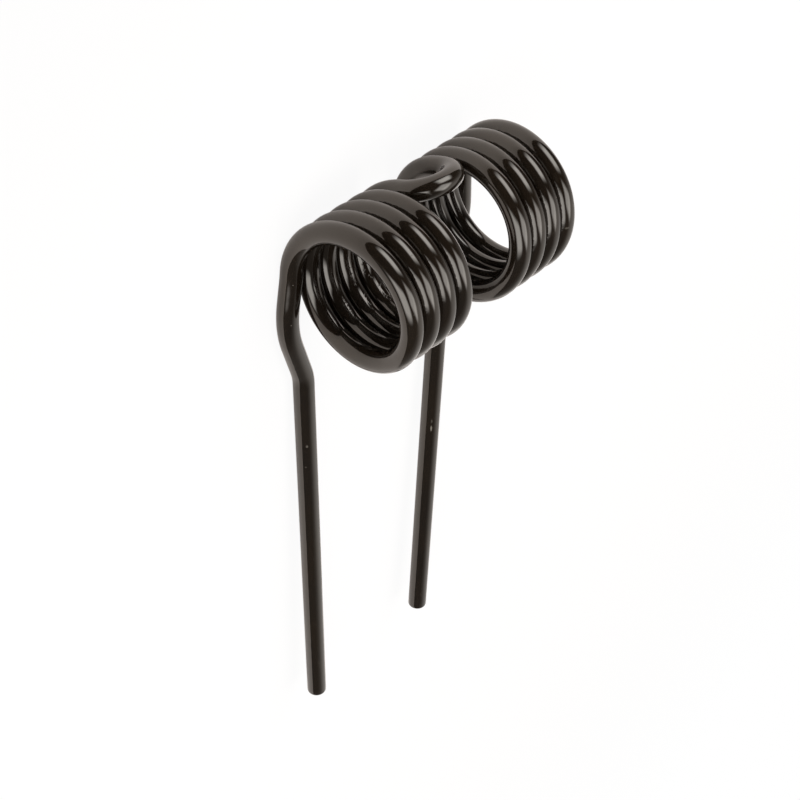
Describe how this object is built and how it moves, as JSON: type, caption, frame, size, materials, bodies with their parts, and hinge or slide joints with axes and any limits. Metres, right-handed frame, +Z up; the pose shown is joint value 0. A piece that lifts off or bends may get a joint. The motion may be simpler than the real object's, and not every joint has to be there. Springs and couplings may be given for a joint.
{
  "type": "torsion spring",
  "caption": "Double torsion spring of round steel wire: opposite-hand coils on one axis joined by a U-shaped fixing loop, each ending in a long leg that jogs inward.",
  "frame": {"origin": "under the middle of the spring's outline, on the surface that it lies on", "axes": "+X along the axis of both coils, from the left coil to the right; -Y the way the legs point; +Z up"},
  "size_m": [0.0708, 0.1766, 0.0395],
  "materials": {
    "spring_steel": "gloss black"
  },
  "bodies": {
    "root": {"spring_wire": "spring_steel"}
  },
  "joints": []
}
